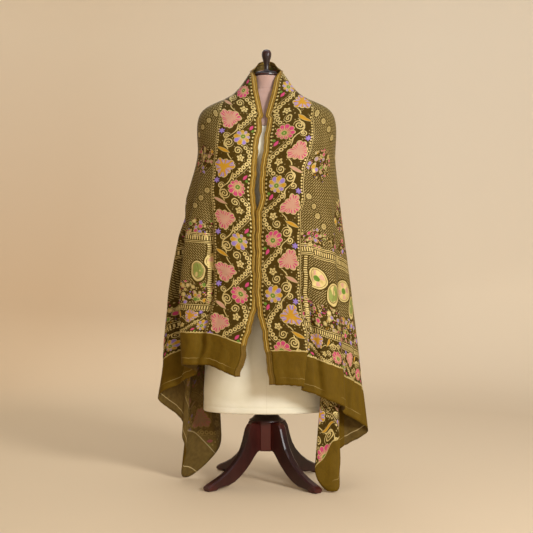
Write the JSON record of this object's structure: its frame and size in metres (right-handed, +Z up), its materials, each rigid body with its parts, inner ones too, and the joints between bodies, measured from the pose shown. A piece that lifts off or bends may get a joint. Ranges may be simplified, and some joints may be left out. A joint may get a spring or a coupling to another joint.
{
  "type": "dupatta on a dress form",
  "caption": "Brocade dupatta draped over the neck and shoulders of a limbless dress form on a turned wooden stand.",
  "frame": {"origin": "middle of the ground plan, on the floor that the stand's feet rest on", "axes": "+Z up along the stand, -Y to the wearer's front, +X to the wearer's left"},
  "size_m": [0.748, 0.4506, 1.552],
  "materials": {
    "brocade": "woven silk brocade in dark olive gold",
    "gold_edging": "woven mustard gold edging",
    "calico": "plain cream calico",
    "neck_cover": "plain pale rose cloth",
    "mahogany": "glossy dark mahogany"
  },
  "bodies": {
    "root": {"neck_stretch": "brocade", "left_front": "brocade", "left_side": "brocade", "left_tail": "brocade", "back": "brocade", "right_tail": "brocade", "right_side": "brocade", "right_front": "brocade", "neck_edging": "gold_edging", "left_edging": "gold_edging", "right_edging": "gold_edging", "form_body": "calico", "form_neck": "neck_cover", "neck_cap": "mahogany", "finial": "mahogany", "stand_collar": "mahogany", "stand_block": "mahogany", "leg_front_left": "mahogany", "leg_front_right": "mahogany", "leg_back_right": "mahogany", "leg_back_left": "mahogany"}
  },
  "joints": []
}
